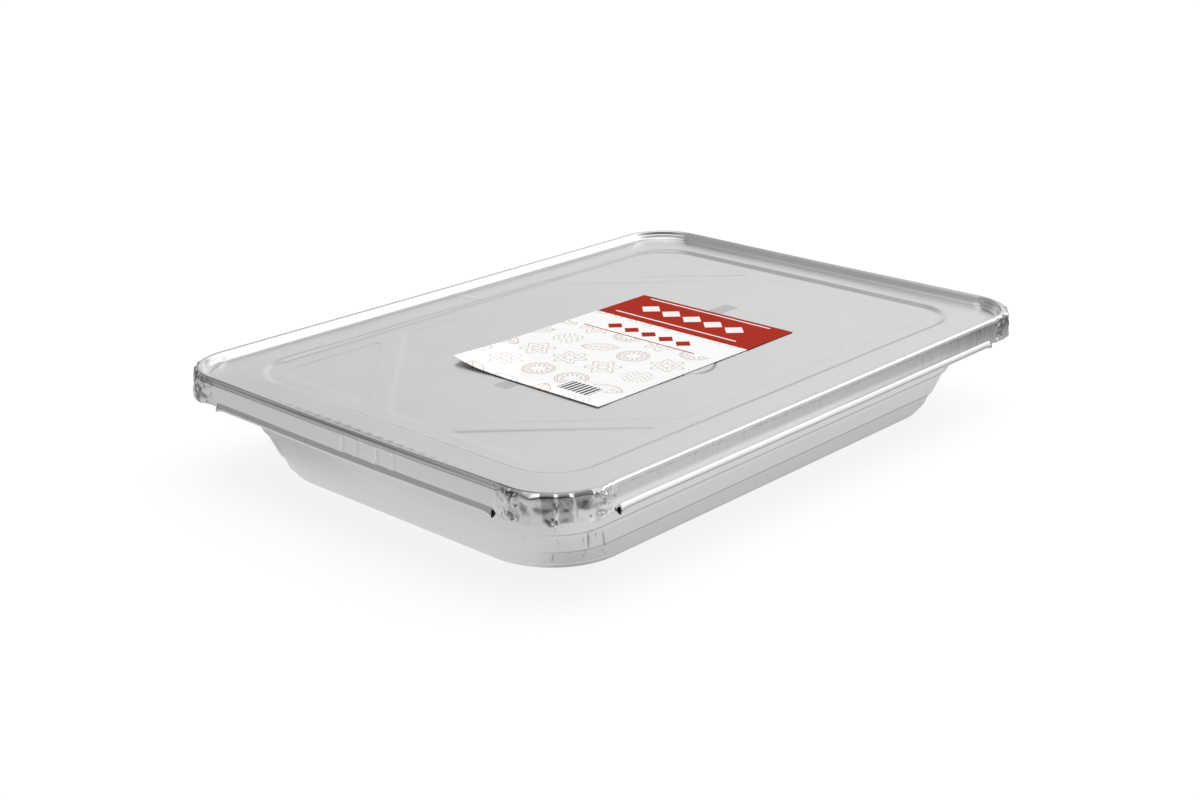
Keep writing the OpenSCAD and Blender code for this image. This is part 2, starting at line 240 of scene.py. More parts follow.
def slab(x, y, under, t):
    """A closed sheet over a grid of points, from its underside's heights and its thickness."""
    lower = np.column_stack([x.ravel(), y.ravel(), under.ravel()])
    n = len(lower)
    number = np.arange(n).reshape(x.shape)
    faces = grid_faces(number, False)
    faces += [[i + n for i in face[::-1]] for face in faces]
    loop = np.concatenate([number[0], number[1:, -1], number[-1, -2::-1], number[-2:0:-1, 0]])
    faces += flipped(quads(loop, loop + n, True))
    return np.vstack([lower, lower + [0, 0, t]]), faces, None


def make_mesh(name, points, faces, shade, material, flat_edges=None):
    mesh = bpy.data.meshes.new(name)
    mesh.from_pydata((np.asarray(points) * mm).tolist(), [], faces)
    mesh.validate()
    mesh.materials.append(material)
    # The shade values are painted shade, and painted highlights where they are negative, stored for each
    # point
    if shade is not None:
        painted_light_and_shade = mesh.attributes.new("painted_light_and_shade", "FLOAT", "POINT")
        painted_light_and_shade.data.foreach_set("value", shade.astype(np.float32))
    piece = bpy.data.objects.new(name, mesh)
    bpy.context.scene.collection.objects.link(piece)
    mesh.polygons.foreach_set("use_smooth", [True] * len(mesh.polygons))
    if flat_edges:
        mesh.set_sharp_from_angle(angle=math.radians(flat_edges))
    return piece


# Stations run round the rim, counter-clockwise from the corner at +X +Y. Each has a point of the crest
# and its way out. A corner's station has its distance past the start of the curve, and a side's has its
# distance past the side's middle. The number of the corner or side that it isn't on is -1.

corner_len = math.pi / 2 * rim_r
corner_pitch = [0.75, 0.7, 0.55, 0.7]
# The side after each corner
side_len = [2 * (crest_x - rim_r), 2 * (crest_y - rim_r)] * 2
side_pitch = [2.1, 1.5, 1.15, 2.0]


def corner_path(corner, way):
    """Crest point and way out at a distance along a corner, where the curve starts at 0."""
    on_curve = np.clip(way, 0, corner_len)
    out = directions(math.pi / 2 * corner + on_curve / rim_r)
    along = np.column_stack([-out[:, 1], out[:, 0]])
    centre = corner_signs[corner] * [crest_x - rim_r, crest_y - rim_r]
    return centre + rim_r * out + (way - on_curve)[:, None] * along, out


def rim_stations():
    parts = []
    for corner in range(4):
        n = round((corner_len + 2 * hem_stop) / corner_pitch[corner])
        way = np.linspace(-hem_stop, corner_len + hem_stop, n + 1)
        here, none = np.full(n + 1, corner), np.full(n + 1, -1)
        parts.append((*corner_path(corner, way), here, way, none, np.zeros(n + 1)))
        length = side_len[corner] - 2 * hem_stop
        n = round(length / side_pitch[corner])
        way = np.linspace(-length / 2, length / 2, n + 1)[1:-1]
        here, none = np.full(n - 1, corner), np.full(n - 1, -1)
        path = corner_path(corner, way + corner_len + side_len[corner] / 2)
        parts.append((*path, none, np.zeros(n - 1), here, way))
    return [np.concatenate(column) for column in zip(*parts)]


rim_at, rim_out, rim_corner, corner_way, rim_side, side_way = rim_stations()
rim_n = len(rim_at)


def corner_window(way, lead, blend):
    """1 in a corner and 0 past a lead at either end, with smooth steps."""
    return between(way, -lead, corner_len + lead, blend, blend)


def side_share(side):
    """How far each station belongs to a side: 1 along it, falling to 0 round its corners."""
    normal = direction(math.pi / 2 * (side + 1))
    return smooth((rim_out @ normal - 0.35) / 0.6)


def place_along(side):
    """Position along a side, counted the same way on the side itself and in its corners."""
    x, y = direction(math.pi / 2 * (side + 1))
    return rim_at @ np.array([-y, x])


def rim_sag():
    """The near short side sags a little between its corners, the others hardly."""
    sag = np.zeros(rim_n)
    for side, depth in enumerate([0.25, 0.9, 0.2, 0.3]):
        half = side_len[side] / 2
        sag += depth * side_share(side) * (1 - smooth(np.abs(place_along(side)) / half))
    return -sag


# Creased foil

class Facets:
    """A surface of flat triangles between loose points of random height, as in crumpled foil."""

    def __init__(self, seed, u_range, v_range, u_pitch, v_pitch, height, pleat=0.0):
        rng = np.random.default_rng(seed)
        us = np.arange(u_range[0] - u_pitch, u_range[1] + 2 * u_pitch, u_pitch)
        vs = np.arange(v_range[0] - v_pitch, v_range[1] + 2 * v_pitch, v_pitch)
        grid_u, grid_v = np.meshgrid(us, vs)
        grid_u = grid_u + rng.uniform(-0.42, 0.42, grid_u.shape) * u_pitch
        grid_v = grid_v + rng.uniform(-0.42, 0.42, grid_v.shape) * v_pitch
        heights = rng.uniform(-1, 1, grid_u.shape)
        fold = np.where(np.arange(len(us)) % 2 == 0, 1, -1) * rng.uniform(0.4, 1.2, len(us))
        heights = (1 - pleat) * heights + pleat * fold
        self.points = np.column_stack([grid_u.ravel(), grid_v.ravel()])
        self.heights = heights.ravel() * height
        flat = [Vector(p) for p in self.points.tolist()]
        result = delaunay_2d_cdt(flat, [], [], 0, 1e-7)
        order = [ids[0] for ids in result[3]]
        self.triangles = np.array([[order[i] for i in f] for f in result[2] if len(f) == 3])

    def __call__(self, u, v):
        value = np.zeros(len(u))
        a, b, c = (self.points[self.triangles[:, k]] for k in range(3))
        corner_heights = self.heights[self.triangles]
        for (ax, ay), (bx, by), (cx, cy), (ha, hb, hc) in zip(a, b - a, c - a, corner_heights):
            det = bx * cy - cx * by
            if abs(det) < 1e-9:
                continue
            du, dv = u - ax, v - ay
            s = (du * cy - dv * cx) / det
            t = (dv * bx - du * by) / det
            hit = (s >= 0) & (t >= 0) & (s + t <= 1)
            value[hit] = (ha + s * (hb - ha) + t * (hc - ha))[hit]
        return value


# Folds of the near corner: angle, depth, half width in degrees, half height, and push outward
near_corner_dents = [
    (198, 7.0, 5.0, 3.5, -0.5), (208, 10.5, 5.0, 4.5, 0.5), (218, 7.0, 7.0, 7.0, -0.7),
    (232, 7.0, 6.5, 7.0, -0.8), (247, 4.0, 8.0, 4.0, -0.6), (252, 10.0, 8.0, 5.0, 0.5),
    (204, 2.4, 9.0, 2.4, 1.9), (224.9, 9.3, 1.3, 4.2, 1.3), (237, 4.2, 1.7, 4.4, 1.5),
    (190.8, 8.0, 1.4, 2.4, 1.3), (176.5, 3.0, 1.7, 2.0, 1.3), (182.5, 2.4, 1.6, 1.7, 1.3),
    (188, 3.4, 2.0, 1.8, 1.4), (193.5, 2.0, 1.5, 1.5, 1.0), (255, 1.8, 2.5, 1.5, 1.2),
    (259.6, 3.0, 1.0, 2.6, 1.3), (264.5, 3.5, 1.1, 4.0, 1.0), (268.8, 5.0, 1.1, 3.5, 0.9),
    (252, 12.4, 2.0, 1.6, 1.0), (222, 12.6, 1.3, 1.4, 0.9),
]

# Its facets with painted shade: angle and depth at the top, the same at the bottom, half width at each,
# and amount of painted shade, where a negative amount is a painted highlight
near_corner_painted_facets = [
    (198.5, 4.4, 198.0, 9.2, 4.6, 3.2, 0.5), (217.8, 2.0, 219.2, 13.6, 6.0, 4.4, 0.4),
    (221.8, 2.0, 222.6, 13.6, 1.7, 1.3, 0.25), (231.8, 2.0, 232.2, 13.6, 5.6, 5.9, 0.52),
    (228.5, 2.0, 234.0, 8.0, 1.5, 0.9, -0.28), (248, 2.0, 243.2, 7.8, 8.2, 2.4, 0.48),
    (165, 0.6, 170.5, 6.0, 0.9, 1.2, 0.5), (181, 1.0, 183.5, 5.0, 0.8, 0.6, 0.5),
    (187, 2.4, 184, 7.0, 0.7, 0.9, 0.45), (190, 6.5, 193.5, 11.0, 0.6, 0.8, 0.5),
    (178, 8.0, 180, 12.0, 0.6, 0.8, 0.4), (257.6, 0.8, 258.6, 8.5, 0.7, 0.6, 0.5),
    (262.2, 3.0, 262.0, 9.0, 0.5, 0.5, 0.35), (266.6, 2.0, 267, 7.0, 0.7, 0.9, 0.45),
    (241, 8.0, 241.5, 12.5, 0.9, 0.5, 0.3),
]
# Stretches of its crown that get painted shade too
near_corner_shaded_crown = [(211.5, 223.6), (226.2, 235.6), (238.8, 255.5)]


def near_turn(way):
    """Direction in degrees of the way out, at a distance along the near corner."""
    return 180 + np.degrees(way / rim_r)


def near_corner_shade(way, depth):
    """Painted shade of the near corner on its facets, along its crown and on the crest, with painted
    highlights where it is negative.
    """
    turn = near_turn(way)
    bent = turn + 0.5 * waves(way, depth, 91, 5)
    level = depth + 0.4 * waves(way, depth, 92, 4)
    shade = np.zeros(len(way))
    for top, high, bottom, low, wide, narrow, amount in near_corner_painted_facets:
        share = np.clip((level - high) / (low - high), 0, 1)
        edge = wide + (narrow - wide) * share - np.abs(bent - top - (bottom - top) * share)
        inside = np.clip(2.5 * np.minimum(level - high, low - level), 0, 1)
        shade += amount * np.clip(1.6 * edge, 0, 1) * inside
    crown = between(depth, 0.3, 2.7, 0.15, 0.8)
    for start, stop in near_corner_shaded_crown:
        shade += 0.8 * crown * np.clip(1.5 * np.minimum(bent - start, stop - bent), 0, 1)
    # Painted shade along the crest line
    shade += 0.5 * smooth((0.42 - depth) / 0.15) * between(turn, 166, 257, 4, 5)
    return np.clip(shade, -0.3, 0.86 - 0.42 * smooth((depth - 1.2) / 0.5))


# Reach of the creased surfaces along a corner, and down from the crest
crumple_ends = (-hem_stop - 4, corner_len + hem_stop + 4)
crumple_depths = (-3, 17)


def pleat_shade(corner, way, depth):
    """Painted shade on small facets of the gathered foil."""
    tall = 2.6 if corner == near_corner else 5.0
    chips = Facets(95 + corner, crumple_ends, crumple_depths, 1.5, tall, 1.0)
    inside = corner_window(way, 5, 3)
    if corner == near_corner:
        inside = inside * (1 - between(near_turn(way), 193, 258, 3, 3))
    return 0.5 * smooth((chips(way, depth) - 0.15) / 0.25) * inside * smooth((depth - 0.5) / 0.4)


def corner_crumple(corner, way, depth):
    """Push of the gathered foil at a corner, at a way along it and a depth below the crest."""
    pitch, height = (3.4, 0.8) if corner in (1, 3) else (4.6, 1.5)
    large = Facets(40 + corner, crumple_ends, crumple_depths, pitch, 5.0, height, pleat=0.4)
    small = Facets(60 + corner, crumple_ends, crumple_depths, 1.9, 2.6, 0.5)
    spread = 0.5 + 0.5 * waves(way, depth, 80 + corner, 22)
    push = large(way, depth) + small(way, depth) * (0.35 + spread)
    if corner == near_corner:
        turn = near_turn(way)
        push = push * (1.1 - 0.85 * between(turn, 193, 258, 5, 4))
        for at, low, wide, tall, size in near_corner_dents:
            across = np.clip(1 - np.abs(turn - at) / wide, 0, 1)
            push = push + size * across * np.clip(1 - np.abs(depth - low) / tall, 0, 1)
    return push * smooth((depth - 0.05) / 1.1) * corner_window(way, hem_stop - 0.5, 4)


def vertical_creases(seed, place, depth, pitch, most, reach):
    """Fine upright creases below the bead that fade downward."""
    rng = np.random.default_rng(seed)
    low, high = place.min(), place.max()
    push = np.zeros(len(place))
    at = low
    while at < high:
        at += pitch * rng.uniform(0.3, 1.7)
        width = rng.uniform(0.5, 1.5)
        size = most * rng.uniform(0.2, 1.0)
        length = reach * rng.uniform(0.4, 1.3)
        lean = rng.uniform(-0.12, 0.12)
        close = np.abs(place - at) < 8
        fade = np.clip(1 - (depth[close] - 3.0) / length, 0, 1) * smooth((depth[close] - 2.2) / 1.2)
        push[close] -= size * bump(place[close] + lean * depth[close], at, width) * fade
    return push


# The finger dents along the near short side: place and size
finger_dents = [(-2.0, 0.34), (8.6, 0.26), (23.5, 0.36), (36.0, 0.3)]


def finger_push(place, depth):
    """Push of the finger dents, which step in and fade to one side."""
    push = np.zeros(len(place))
    for at, size in finger_dents:
        past = place - at
        push -= size * np.where(past > 0, np.exp(-np.abs(past) / 6), 0) * smooth(past / 0.7 + 0.5)
        push += 0.5 * size * bump(past, 0, 0.9)
    return push * smooth((depth - 3.5) / 2)


# Lid

def rim_section():
    """Outer face of the rim, from the bead's foot to the skirt's foot: offsets and heights by row."""
    reach = math.hypot(bead_foot[0], bead_foot[1] + bead_r)
    slant = math.atan2(-bead_r - bead_foot[1], -bead_foot[0]) + math.asin(bead_r / reach)
    rising = (bead_foot[0] + 1.38 * math.cos(slant), bead_foot[1] + 1.38 * math.sin(slant))
    foot = bezier((bead_foot[0] - 1.4, bead_foot[1] + 0.05), bead_foot, rising, 5)
    touch = 90 + math.degrees(slant)
    bead = arc((0, -bead_r), bead_r, touch, 12, 11)
    middle = (foot[-1] + bead[0]) / 2
    head = np.vstack([foot, [middle], bead])
    o = np.repeat(head[:, :1], rim_n, axis=1)
    z = np.repeat(head[:, 1:], rim_n, axis=1)

    pinch = 0.14 + 0.24 * side_share(near_short) + 0.06 * side_share(far_short)
    near = np.where(rim_corner >= 0, corner_window(corner_way, hem_stop, 8), 0)
    pinch = pinch * (1 - 0.8 * near)
    gathered = near * corner_window(corner_way, 1, 6)
    around = np.cumsum(np.hypot(*(rim_at - np.roll(rim_at, 1, axis=0)).T))
    wander = 0.3 * waves(around, 0, 11, 9) + 0.25 * waves(around, 0, 12, 31)
    top = bead[-1]
    for t in (0.3, 0.55, 0.8, 1.0):
        fold = math.sin(math.pi * t) ** 1.5
        o = np.vstack([o, top[0] + t * (skirt_top[0] - top[0]) - pinch * fold])
        z = np.vstack([z, top[1] + t * (skirt_top[1] - top[1]) + wander * fold * 0.5])

    ragged = 0.7 * waves(corner_way, 0, 21, 7) + 0.7 * waves(corner_way, 0, 22, 2.2)
    ends = corner_window(corner_way, hem_stop, 1.5)
    drop = np.where(rim_corner >= 0, (edge_drop + ragged) * ends, 0)
    flare = skirt_foot[0] - skirt_top[0]
    for t in np.linspace(0, 1, 20)[1:]:
        o = np.vstack([o, np.full(rim_n, skirt_top[0] + flare * math.sin(math.pi / 2 * t))])
        z = np.vstack([z, skirt_top[1] + t * (skirt_foot[1] - drop - skirt_top[1])])
    # The gathered corners stand out below the crest
    o = o + gathered * (0.8 * smooth((-z - 0.3) / 1.5) + 0.09 * np.clip(-z - 3, 0, 20))
    o = o - 0.35 * side_share(near_long) * smooth((-z - 8) / 4)
    return o, z, len(head)


# Upright creases along each side: pitch, size and reach downward
side_creases = [(4.0, 0.2, 7), (7.0, 0.08, 5), (3.0, 0.3, 8), (4.0, 0.2, 7)]


def rim_push(o, z, bead_rows):
    """Dents and creases on the rows below the bead's crown, and the painted shade and painted highlights
    in its folds.
    """
    pushed = o.copy()
    shade = np.zeros(o.shape)
    streaks = np.random.default_rng(7).uniform(0, 1, rim_n) ** 2
    lengths = np.random.default_rng(8).uniform(2.5, 8.5, rim_n)
    right = smooth((rim_at[:, 0] - 60) / 120)
    left = 1 - smooth((rim_at[:, 0] + 20) / 120)
    left_end = smooth((rim_at[:, 1] - 60) / 60)
    shares = [side_share(side) for side in range(4)]
    places = [place_along(side) for side in range(4)]
    short = shares[near_short]
    for row in range(bead_rows - 6, len(o)):
        depth = -z[row]
        push = np.zeros(rim_n)
        for corner in range(4):
            here = rim_corner == corner
            way, low = corner_way[here], depth[here]
            push[here] = corner_crumple(corner, way, low)
            # Painted shade in the corners' crumpled valleys and on small facets
            painted_light_and_shade = 0.4 * np.clip(-push[here] - 0.25, 0, 1) + pleat_shade(corner, way, low)
            if corner == near_corner:
                # The near corner gets its own painted shade and painted highlights
                painted_light_and_shade = 0.6 * painted_light_and_shade + near_corner_shade(way, low)
            shade[row][here] = painted_light_and_shade
        for side, (pitch, most, reach) in enumerate(side_creases):
            there = shares[side] > 0
            creases = vertical_creases(31 + side, places[side][there], depth[there], pitch, most, reach)
            push[there] += shares[side][there] * creases
        push += short * finger_push(places[near_short], depth)
        # The foil can't go further in than the pan's rolled edge, which reaches down to the crease
        limit = np.interp(depth, [0.9, 1.4, 3.6, 6.0], [1.2, 1.62, 1.62, 0.3])
        pushed[row] = np.maximum(o[row] + push, np.minimum(o[row], limit))
        # Painted shade: the crown of the far long side is a little darker
        painted_shading = 0.3 * shares[far_long] * bump(o[row], -0.4, 0.9) * (depth < 1.4)
        # Painted shade: the near long side is streaked darker below its crease, most to the right, and a
        # painted highlight makes it lighter below left
        below = smooth((depth - 2.2) / 1.0)
        faded = below * np.clip(1 - (depth - 3) / (lengths + 8 * right), 0, 1)
        painted_shading += shares[near_long] * faded * (streaks * (0.1 + 0.15 * right) + 0.5 * right)
        painted_shading -= shares[near_long] * 0.2 * smooth((depth - 7) / 3) * left
        # Painted shade: the near short side's crease is dark, most at its left end, and its crown gets
        # painted dark lines with a painted lighter band between them
        crease = (0.28 + 0.15 * left_end) * bump(depth, 2.9, 0.8)
        crown = 0.22 * (depth < 0.25) - 0.14 * bump(depth, 0.8, 0.45) + 0.5 * bump(depth, 1.8, 0.6)
        painted_shading += short * (crease + crown + 0.2 * left_end * (depth < 1.4))
        # Painted shade and painted highlights along the finger dents
        for at, size in finger_dents:
            past = places[near_short] - at + 0.06 * (depth - 8) ** 2
            painted_shading += short * below * (0.1 * bump(past, 1.3, 0.9) - 0.5 * size * bump(past, 0, 0.6))
        # A cap on the painted shade, higher at the near corner
        most_painted_shade = np.where(rim_corner == near_corner, 0.86, 0.6)
        shade[row] = np.minimum(shade[row] + painted_shading, most_painted_shade)
    return pushed, shade


def mirror_outline(points, quarter):
    """An outline drawn in the +X +Y quarter, mirrored into another, still counter-clockwise."""
    turned = points * corner_signs[quarter]
    return turned if quarter % 2 == 0 else turned[::-1]


panel_x = crest_x - frame_inset - frame_slope - ledge
panel_y = crest_y - frame_inset - frame_slope - ledge
slant_sum = panel_x + panel_y - panel_leg


def corner_panel(shrink=0.0):
    tips = slant_sum + panel_tip_r * (1 + math.sqrt(2))
    return np.vstack([
        arc((panel_x - panel_bow_r, panel_y - panel_bow_r), panel_bow_r - shrink, 0, 90, 24),
        arc((tips - panel_y, panel_y - panel_tip_r), panel_tip_r - shrink, 90, 225, 14),
        arc((panel_x - panel_tip_r, tips - panel_x), panel_tip_r - shrink, 225, 360, 14),
    ])


def middle_panel(shrink=0.0):
    x, y = panel_x - middle_r, panel_y - middle_r
    total = slant_sum - math.sqrt(2) * rib_w - middle_r * math.sqrt(2)
    r = middle_r - shrink
    return four_quarters(np.vstack([arc((x, total - x), r, 0, 45, 8), arc((total - y, y), r, 45, 90, 8)]))


panel_outlines = [mirror_outline(corner_panel(), q) for q in range(4)] + [middle_panel()]

# The card's middle and size, a short crease across the lid's border, and a round pressed mark
card_mid = ((card_low.x + card_high.x) / 2 / mm, (card_low.y + card_high.y) / 2 / mm)
card_size = ((card_high.x - card_low.x) / mm, (card_high.y - card_low.y) / mm)
crease_at = (2.0, crest_y - 14.0)
mark_at = (-4.0, -50.0)
mark_r = 18.0


def mark_distance(x, y):
    return np.hypot(x - mark_at[0], y - mark_at[1])


def mark_shade(x, y):
    """Painted shade along the line of the pressed mark."""
    return 0.5 * bump(mark_distance(x, y), mark_r, 0.8) * smooth((-58 - y) / 5) * smooth((x + 14) / 8)


def slope_distance(x, y):
    """Distance from the middle line of the slope round the frame."""
    return np.abs(box_distance(x, y, frame_inset + frame_slope / 2, frame_r))


def lid_height(x, y):
    """Height of the lid's upper face below the crest, inside the bead."""
    inset = rim_inset(x, y)
    to_frame = box_distance(x, y, frame_inset, frame_r + frame_slope / 2)
    past_foot = np.maximum(inset + bead_foot[0], 0)
    share = past_foot / np.maximum(past_foot + np.maximum(to_frame, 0), 1e-6)
    z = bead_foot[1] + (border_z - bead_foot[1]) * share
    inside_frame = -box_distance(x, y, frame_inset + frame_slope, frame_r)
    # The step is sharper along the left part of the far long side
    sharp = 1 + 0.6 * smooth((y - 90) / 25) * smooth((84 - x) / 24)
    step = ((inside_frame + frame_slope) / frame_slope - 0.5) * sharp + 0.5
    z = z - frame_step * smooth(step)
    points = np.column_stack([x, y])
    for outline in panel_outlines:
        z = z - panel_step * smooth(-outline_distance(points, outline) / panel_slope)
    calm = smooth(inset / 20)
    z = z + calm * (0.22 * waves(x, y, 5, 110) + 0.07 * waves(x, y, 6, 45))
    # The short crease across the border of the far long side
    across = x - crease_at[0] + 0.25 * (y - crease_at[1])
    z = z + 0.35 * bump(across, 0, 2.2) * bump(y, crease_at[1], 8)
    # The round pressed mark, which runs under the card
    return z + 0.25 * smooth((mark_r - mark_distance(x, y)) / 1.2) * smooth((-56.0 - y) / 6)


def spaced(outline, pitch):
    """A closed outline with more points, no further apart than a pitch."""
    out = []
    for a, b in zip(outline, np.roll(outline, -1, axis=0)):
        length = np.hypot(*(b - a))
        n = max(1, math.ceil(length / pitch))
        if length > 1e-6:
            out += [a + (b - a) * k / n for k in range(n)]
    return np.array(out)


def panel_points():
    """Loose points for the lid inside the bead: close rows along each slope, and a wide net between."""
    rows = []
    for shrink in np.linspace(-0.6, frame_slope + 0.6, 13):
        half_x, half_y = crest_x - frame_inset - shrink, crest_y - frame_inset - shrink
        r = frame_r + frame_slope - shrink
        rows.append(spaced(four_quarters(arc((half_x - r, half_y - r), r, 0, 90, 24)), 2.4))
    for shrink in (-0.6, 0.2, 0.9, 1.6, 2.3, 3.0, 3.7, 4.4):
        rows += [spaced(mirror_outline(corner_panel(shrink), q), 1.6) for q in range(4)]
        rows.append(spaced(middle_panel(shrink), 1.8))
    pitch = 4.5
    net_x, net_y = np.meshgrid(
        np.arange(-crest_x, crest_x, pitch), np.arange(-crest_y, crest_y, pitch * 0.87))
    net_x = net_x + np.where(np.arange(len(net_y)) % 2 == 0, 0, pitch / 2)[:, None]
    net = np.column_stack([net_x.ravel(), net_y.ravel()])
    net = net[rim_inset(*net.T) > 8.5]
    clear = slope_distance(*net.T) > 5
    for outline in panel_outlines:
        distance = outline_distance(net, outline)
        clear &= (distance > 1.8) | (distance < -5.6)
    # Closer points round the crease and the mark
    for centre, size, step in ((crease_at, (9, 13), 1.0), ((-4, -63), (22, 8), 0.7)):
        spot = centre + net_points(*(np.arange(-half, half, step) for half in size))
        rows.append(spot[(rim_inset(*spot.T) > 7.5) & (slope_distance(*spot.T) > 4.2)])
        box = np.array(size) + 1.5
        clear &= ~((np.abs(net[:, 0] - centre[0]) < box[0]) & (np.abs(net[:, 1] - centre[1]) < box[1]))
    return np.vstack(rows[:-2] + [net[clear]] + rows[-2:])


def triangulate(boundary, loose):
    """Triangles that fill a closed boundary and use loose points. Numbers count the boundary first."""
    n = len(boundary)
    points = np.vstack([boundary, loose])
    edges = [(k, (k + 1) % n) for k in range(n)]
    result = delaunay_2d_cdt([Vector(p) for p in points.tolist()], edges, [], 1, 1e-6)
    order = [ids[0] for ids in result[3]]
    kept = np.array([[order[i] for i in face] for face in result[2]])
    return points, kept


def lid_sheet():
    """The lid as one closed sheet: outer face, inner face, raw edges and open hem ends."""
    o, z, bead_rows = rim_section()
    z = z + rim_sag()
    z[0], second = (lid_height(*(rim_at + rim_out * o[row][:, None]).T) for row in (0, 1))
    z[1] = (z[1] + second) / 2
    o, shade = rim_push(o, z, bead_rows)

    sheet = Sheet()
    outer = [np.column_stack([rim_at + rim_out * r[:, None], level + crest_z]) for r, level in zip(o, z)]
    normals = sheet_normals(np.array(outer))
    outer_numbers = [sheet.add(row, painted_shading) for row, painted_shading in zip(outer, shade)]
    inner_rows = [0, 5, 9, 13, 17] + list(range(22, len(o) - 4, 6)) + [len(o) - 1]
    inner = [outer[r] - foil_t * normals[r] for r in inner_rows]
    inner_numbers = [sheet.add(row) for row in inner]
    sheet.faces += grid_faces(outer_numbers, True) + flipped(grid_faces(inner_numbers, True))

    # Panel within the rim's first row. Its underside needs only a wide net
    loose = panel_points()
    sheet.fill(outer_numbers[0], loose, lid_height, crest_z, True, mark_shade)
    sheet.fill(inner_numbers[0], loose[::6], lid_height, crest_z - foil_t, False)

    # Hems along the straight sides
    hem_section = np.array(hem_path)
    ways = np.gradient(hem_section, axis=0)
    hem_normals = np.column_stack([-ways[:, 1], ways[:, 0]]) / np.hypot(*ways.T)[:, None]
    hemmed = np.zeros(rim_n, bool)
    for side in range(4):
        own = np.where(rim_side == side)[0]
        run = np.concatenate([[own[0] - 1], own, [(own[-1] + 1) % rim_n]])
        hemmed[run[:-1]] = True
        lift = z[-1, run] - skirt_foot[1] + 0.09 * waves(side_way[run], 0, 90 + side, 40)
        shift = 0.35 * (o[-1, run] - skirt_foot[0])
        # The roll opens a little at its two ends
        count = np.arange(len(run))
        opened = 1 + 0.3 * np.clip(1 - np.minimum(count, count[::-1]) * side_pitch[side] / 5, 0, 1)
        outside, inside = [outer_numbers[-1][run]], [inner_numbers[-1][run]]
        for (so, sz), (no, nz) in zip(hem_section, hem_normals):
            reach = skirt_foot[0] + (so - skirt_foot[0]) * opened + shift
            level = skirt_foot[1] + (sz - skirt_foot[1]) * opened + lift
            base = np.column_stack([rim_at[run] + rim_out[run] * reach[:, None], level + crest_z])
            out = np.column_stack([rim_out[run] * no, np.full(len(run), nz)])
            # Painted shade on the roll's inner turns and on its inside face, and a painted highlight on
            # its lowest outer rows
            painted_shading = 0.6 if so < 1.5 else -0.2 * (sz < -15.8)
            outside.append(sheet.add(base, np.full(len(run), painted_shading)))
            inside.append(sheet.add(base - foil_t * out, np.full(len(run), 0.85)))
        outside, inside = np.array(outside), np.array(inside)
        sheet.faces += grid_faces(outside, False) + flipped(grid_faces(inside, False))
        # Raw edge inside the roll, then the two open ends
        sheet.faces += quads(outside[-1], inside[-1], False)
        sheet.faces += quads(outside[:, 0], inside[:, 0], False)
        sheet.faces += quads(inside[:, -1], outside[:, -1], False)
    # Raw edge of the skirt in the corners, which have no hem
    edge = quads(outer_numbers[-1], inner_numbers[-1], True)
    sheet.faces += [face for face, rolled in zip(edge, hemmed) if not rolled]
    return sheet.done()


def sheet_normals(rows):
    """Outward normals of a closed grid of rows."""
    along = np.roll(rows, -1, axis=1) - np.roll(rows, 1, axis=1)
    down = np.empty_like(rows)
    down[1:-1] = rows[2:] - rows[:-2]
    down[0] = rows[1] - rows[0]
    down[-1] = rows[-1] - rows[-2]
    normals = np.cross(down, along)
    return normals / np.maximum(np.linalg.norm(normals, axis=2, keepdims=True), 1e-12)


def oriented(flat, triangles, lookup, upward):
    """Triangles with the sheet's numbers, all turned upward or all downward."""
    a, b, c = (flat[triangles[:, k]] for k in range(3))
    turn = (b[:, 0] - a[:, 0]) * (c[:, 1] - a[:, 1]) - (c[:, 0] - a[:, 0]) * (b[:, 1] - a[:, 1])
    flip = ((turn > 0) != upward)[:, None]
    return lookup[np.where(flip, triangles[:, ::-1], triangles)].tolist()


# Pan

def pan_stations():
    """Corner, angle and share of the side for each point round the pan."""
    stations = []
    for corner in range(4):
        for angle in np.linspace(0, math.pi / 2, 171 if corner == near_corner else 85):
            stations.append((corner, angle, 0.0))
        straight = 2 * ((crest_x if corner % 2 == 0 else crest_y) - base_inset - base_r)
        n = round(straight / 3.0)
        for k in range(1, n):
            stations.append((corner, math.pi / 2, k / n))
    return np.array(stations)


pan_at = pan_stations()


def pan_ring(offset, r):
    """Points and ways out round the pan, at an offset from the crest and with a corner radius."""
    corner = pan_at[:, 0].astype(int)
    out = directions(math.pi / 2 * corner + pan_at[:, 1])
    half = np.array([crest_x + offset - r, crest_y + offset - r])
    share = pan_at[:, 2][:, None]
    centre = corner_signs[corner] * half * (1 - share) + corner_signs[(corner + 1) % 4] * half * share
    return centre + r * out, out


def wall_offset(z, steps):
    return -base_inset + z * math.tan(draft) + steps * wall_step_w


